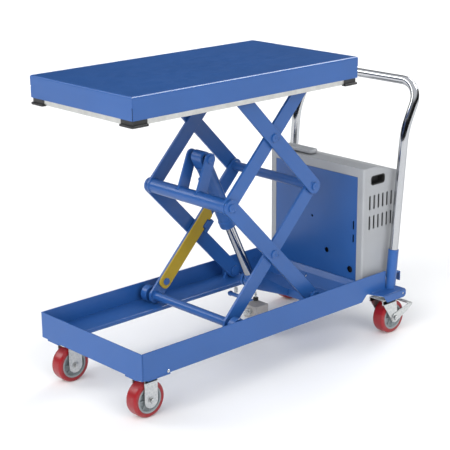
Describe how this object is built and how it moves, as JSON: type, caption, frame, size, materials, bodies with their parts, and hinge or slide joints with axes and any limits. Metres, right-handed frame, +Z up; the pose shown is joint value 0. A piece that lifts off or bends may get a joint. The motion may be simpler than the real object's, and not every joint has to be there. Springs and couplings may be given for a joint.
{
  "type": "scissor lift table",
  "caption": "Mobile double scissor lift table with a folding pair of crossed arms, hydraulic cylinder, rear power housing, push handle and four casters.",
  "frame": {"origin": "on the floor, under the middle of the overall length and width", "axes": "+X towards the push handle, +Y to the right-hand side seen from the front end facing away from the handle, +Z up"},
  "size_m": [1.3633, 0.64, 1.0744],
  "materials": {
    "blue_paint": "satin powder coat",
    "grey_paint": "satin powder coat",
    "yellow_paint": "satin paint",
    "chrome": "polished chrome plate",
    "zinc": "bright zinc plate",
    "silver_rail": "mill finish",
    "machined_steel": "machined",
    "cast_block": "cast, machined ports",
    "red_tread": "smooth polyurethane",
    "grey_hub": "cast, painted grey",
    "black_plastic": "moulded, fine grain",
    "black_paint": "gloss enamel",
    "green_plastic": "gloss moulded",
    "red_plastic": "gloss moulded"
  },
  "bodies": {
    "base": {"base_channel_left": "blue_paint", "base_channel_right": "blue_paint", "front_plate": "blue_paint", "rear_pan": "blue_paint", "corner_plate_left": "blue_paint", "corner_plate_right": "blue_paint", "push_handle": "chrome", "cylinder_clevis": "blue_paint", "valve_block": "cast_block", "housing_cover": "grey_paint", "closing_plate": "blue_paint", "console_boss": "grey_paint", "battery": "black_plastic", "power_pack": "black_paint", "charger": "black_plastic", "front_fork_left": "zinc", "front_fork_right": "zinc", "swivel_plate_left": "zinc", "swivel_plate_right": "zinc"},
    "lower_outer": {"lower_outer_arm_left": "blue_paint", "lower_outer_arm_right": "blue_paint"},
    "lower_inner": {"lower_inner_arm_left": "blue_paint", "lower_inner_arm_right": "blue_paint", "rear_cross_tube": "blue_paint", "lower_roller_bar": "blue_paint"},
    "upper_inner": {"upper_inner_arm_left": "blue_paint", "upper_inner_arm_right": "blue_paint", "cylinder_bracket": "blue_paint"},
    "upper_outer": {"upper_outer_arm_left": "blue_paint", "upper_outer_arm_right": "blue_paint", "upper_roller_bar": "blue_paint"},
    "table": {"platform": "blue_paint"},
    "trip_frame": {"safety_rail": "silver_rail", "corner_cap_front_left": "black_plastic", "corner_cap_front_right": "black_plastic", "corner_cap_rear_left": "black_plastic", "corner_cap_rear_right": "black_plastic"},
    "rod": {"cylinder_rod": "chrome"},
    "barrel": {"cylinder_barrel": "blue_paint"},
    "prop": {"safety_prop": "yellow_paint"},
    "up_key": {"up_button": "green_plastic"},
    "down_key": {"down_button": "black_plastic"},
    "stop_key": {"stop_button": "red_plastic"},
    "lower_track_roller_left": {"lower_roller_left": "machined_steel"},
    "upper_track_roller_left": {"upper_roller_left": "machined_steel"},
    "front_wheel_left": {"front_hub_left": "grey_hub", "front_tread_left": "red_tread"},
    "rear_swivel_left": {"rear_fork_left": "zinc"},
    "rear_wheel_left": {"rear_hub_left": "grey_hub", "rear_tread_left": "red_tread"},
    "pedal_left": {"brake_pedal_left": "zinc"},
    "lower_track_roller_right": {"lower_roller_right": "machined_steel"},
    "upper_track_roller_right": {"upper_roller_right": "machined_steel"},
    "front_wheel_right": {"front_hub_right": "grey_hub", "front_tread_right": "red_tread"},
    "rear_swivel_right": {"rear_fork_right": "zinc"},
    "rear_wheel_right": {"rear_hub_right": "grey_hub", "rear_tread_right": "red_tread"},
    "pedal_right": {"brake_pedal_right": "zinc"}
  },
  "joints": [
    {"name": "lift", "type": "hinge", "parent": "base", "child": "lower_outer", "pos_m": [0.17125, 0, 0.216], "axis": [0, 1, 0], "range_deg": [-35.8, 4]},
    {"name": "lower_centre_pivot", "type": "hinge", "parent": "lower_outer", "child": "lower_inner", "pos_m": [-0.02875, 0, 0.42225], "axis": [0, 1, 0], "range_deg": [-8.2, 71.8]},
    {"name": "front_middle_pivot", "type": "hinge", "parent": "lower_outer", "child": "upper_inner", "pos_m": [-0.22875, 0, 0.6285], "axis": [0, 1, 0], "range_deg": [-8.2, 71.8]},
    {"name": "rear_middle_pivot", "type": "hinge", "parent": "lower_inner", "child": "upper_outer", "pos_m": [0.17125, 0, 0.6285], "axis": [0, 1, 0], "range_deg": [-71.8, 8.2]},
    {"name": "platform_pivot", "type": "hinge", "parent": "upper_inner", "child": "table", "pos_m": [0.17125, 0, 1.041], "axis": [0, 1, 0], "range_deg": [-36, 4.2]},
    {"name": "cylinder_foot_pivot", "type": "hinge", "parent": "base", "child": "rod", "pos_m": [0.06825, 0, 0.25], "axis": [0, 1, 0], "range_deg": [-39.6, 5]},
    {"name": "cylinder_stroke", "type": "slide", "parent": "rod", "child": "barrel", "axis": [-0.4337, 0, 0.9011], "range_m": [-0.1966, 0.0237]},
    {"name": "trip_frame_travel", "type": "slide", "parent": "table", "child": "trip_frame", "axis": [0, 0, 1], "range_m": [0, 0.01], "stiffness_N_per_m": 500, "springref_m": -0.06},
    {"name": "safety_prop_pivot", "type": "hinge", "parent": "lower_inner", "child": "prop", "pos_m": [-0.18975, 0.184, 0.26422], "axis": [0, 1, 0], "range_deg": [-27, 0]},
    {"name": "lower_roller_spin_left", "type": "hinge", "parent": "lower_inner", "child": "lower_track_roller_left", "pos_m": [-0.22875, -0.23, 0.216], "axis": [0, 1, 0], "continuous": true},
    {"name": "upper_roller_spin_left", "type": "hinge", "parent": "upper_outer", "child": "upper_track_roller_left", "pos_m": [-0.22875, -0.23, 1.041], "axis": [0, 1, 0], "continuous": true},
    {"name": "front_wheel_spin_left", "type": "hinge", "parent": "base", "child": "front_wheel_left", "pos_m": [-0.61275, -0.203, 0.0635], "axis": [0, 1, 0], "continuous": true},
    {"name": "rear_swivel_turn_left", "type": "hinge", "parent": "base", "child": "rear_swivel_left", "pos_m": [0.49525, -0.261, 0.15], "axis": [0, 0, 1], "continuous": true},
    {"name": "rear_wheel_spin_left", "type": "hinge", "parent": "rear_swivel_left", "child": "rear_wheel_left", "pos_m": [0.53325, -0.261, 0.0635], "axis": [0, 1, 0], "continuous": true},
    {"name": "brake_pedal_turn_left", "type": "hinge", "parent": "rear_swivel_left", "child": "pedal_left", "pos_m": [0.53325, -0.261, 0.0635], "axis": [0, 1, 0], "range_deg": [0, 12]},
    {"name": "lower_roller_spin_right", "type": "hinge", "parent": "lower_inner", "child": "lower_track_roller_right", "pos_m": [-0.22875, 0.23, 0.216], "axis": [0, 1, 0], "continuous": true},
    {"name": "upper_roller_spin_right", "type": "hinge", "parent": "upper_outer", "child": "upper_track_roller_right", "pos_m": [-0.22875, 0.23, 1.041], "axis": [0, 1, 0], "continuous": true},
    {"name": "front_wheel_spin_right", "type": "hinge", "parent": "base", "child": "front_wheel_right", "pos_m": [-0.61275, 0.203, 0.0635], "axis": [0, 1, 0], "continuous": true},
    {"name": "rear_swivel_turn_right", "type": "hinge", "parent": "base", "child": "rear_swivel_right", "pos_m": [0.49525, 0.261, 0.15], "axis": [0, 0, 1], "continuous": true},
    {"name": "rear_wheel_spin_right", "type": "hinge", "parent": "rear_swivel_right", "child": "rear_wheel_right", "pos_m": [0.53325, 0.261, 0.0635], "axis": [0, 1, 0], "continuous": true},
    {"name": "brake_pedal_turn_right", "type": "hinge", "parent": "rear_swivel_right", "child": "pedal_right", "pos_m": [0.53325, 0.261, 0.0635], "axis": [0, 1, 0], "range_deg": [0, 12]},
    {"name": "up_button_press", "type": "slide", "parent": "base", "child": "up_key", "axis": [-1, 0, 0], "range_m": [0, 0.003], "stiffness_N_per_m": 600, "springref_m": -0.002},
    {"name": "down_button_press", "type": "slide", "parent": "base", "child": "down_key", "axis": [-1, 0, 0], "range_m": [0, 0.003], "stiffness_N_per_m": 600, "springref_m": -0.002},
    {"name": "stop_button_press", "type": "slide", "parent": "base", "child": "stop_key", "axis": [-1, 0, 0], "range_m": [0, 0.004]}
  ],
  "couplings": [
    {"joint": "lower_centre_pivot", "follows": "lift", "ratio": -2},
    {"joint": "front_middle_pivot", "follows": "lift", "ratio": -2},
    {"joint": "rear_middle_pivot", "follows": "lift", "ratio": 2},
    {"joint": "platform_pivot", "follows": "lift", "ratio": 1},
    {"joint": "cylinder_foot_pivot", "follows": "lift", "ratio": 1.088},
    {"joint": "cylinder_stroke", "follows": "lift", "m_per_rad": 0.3115}
  ]
}
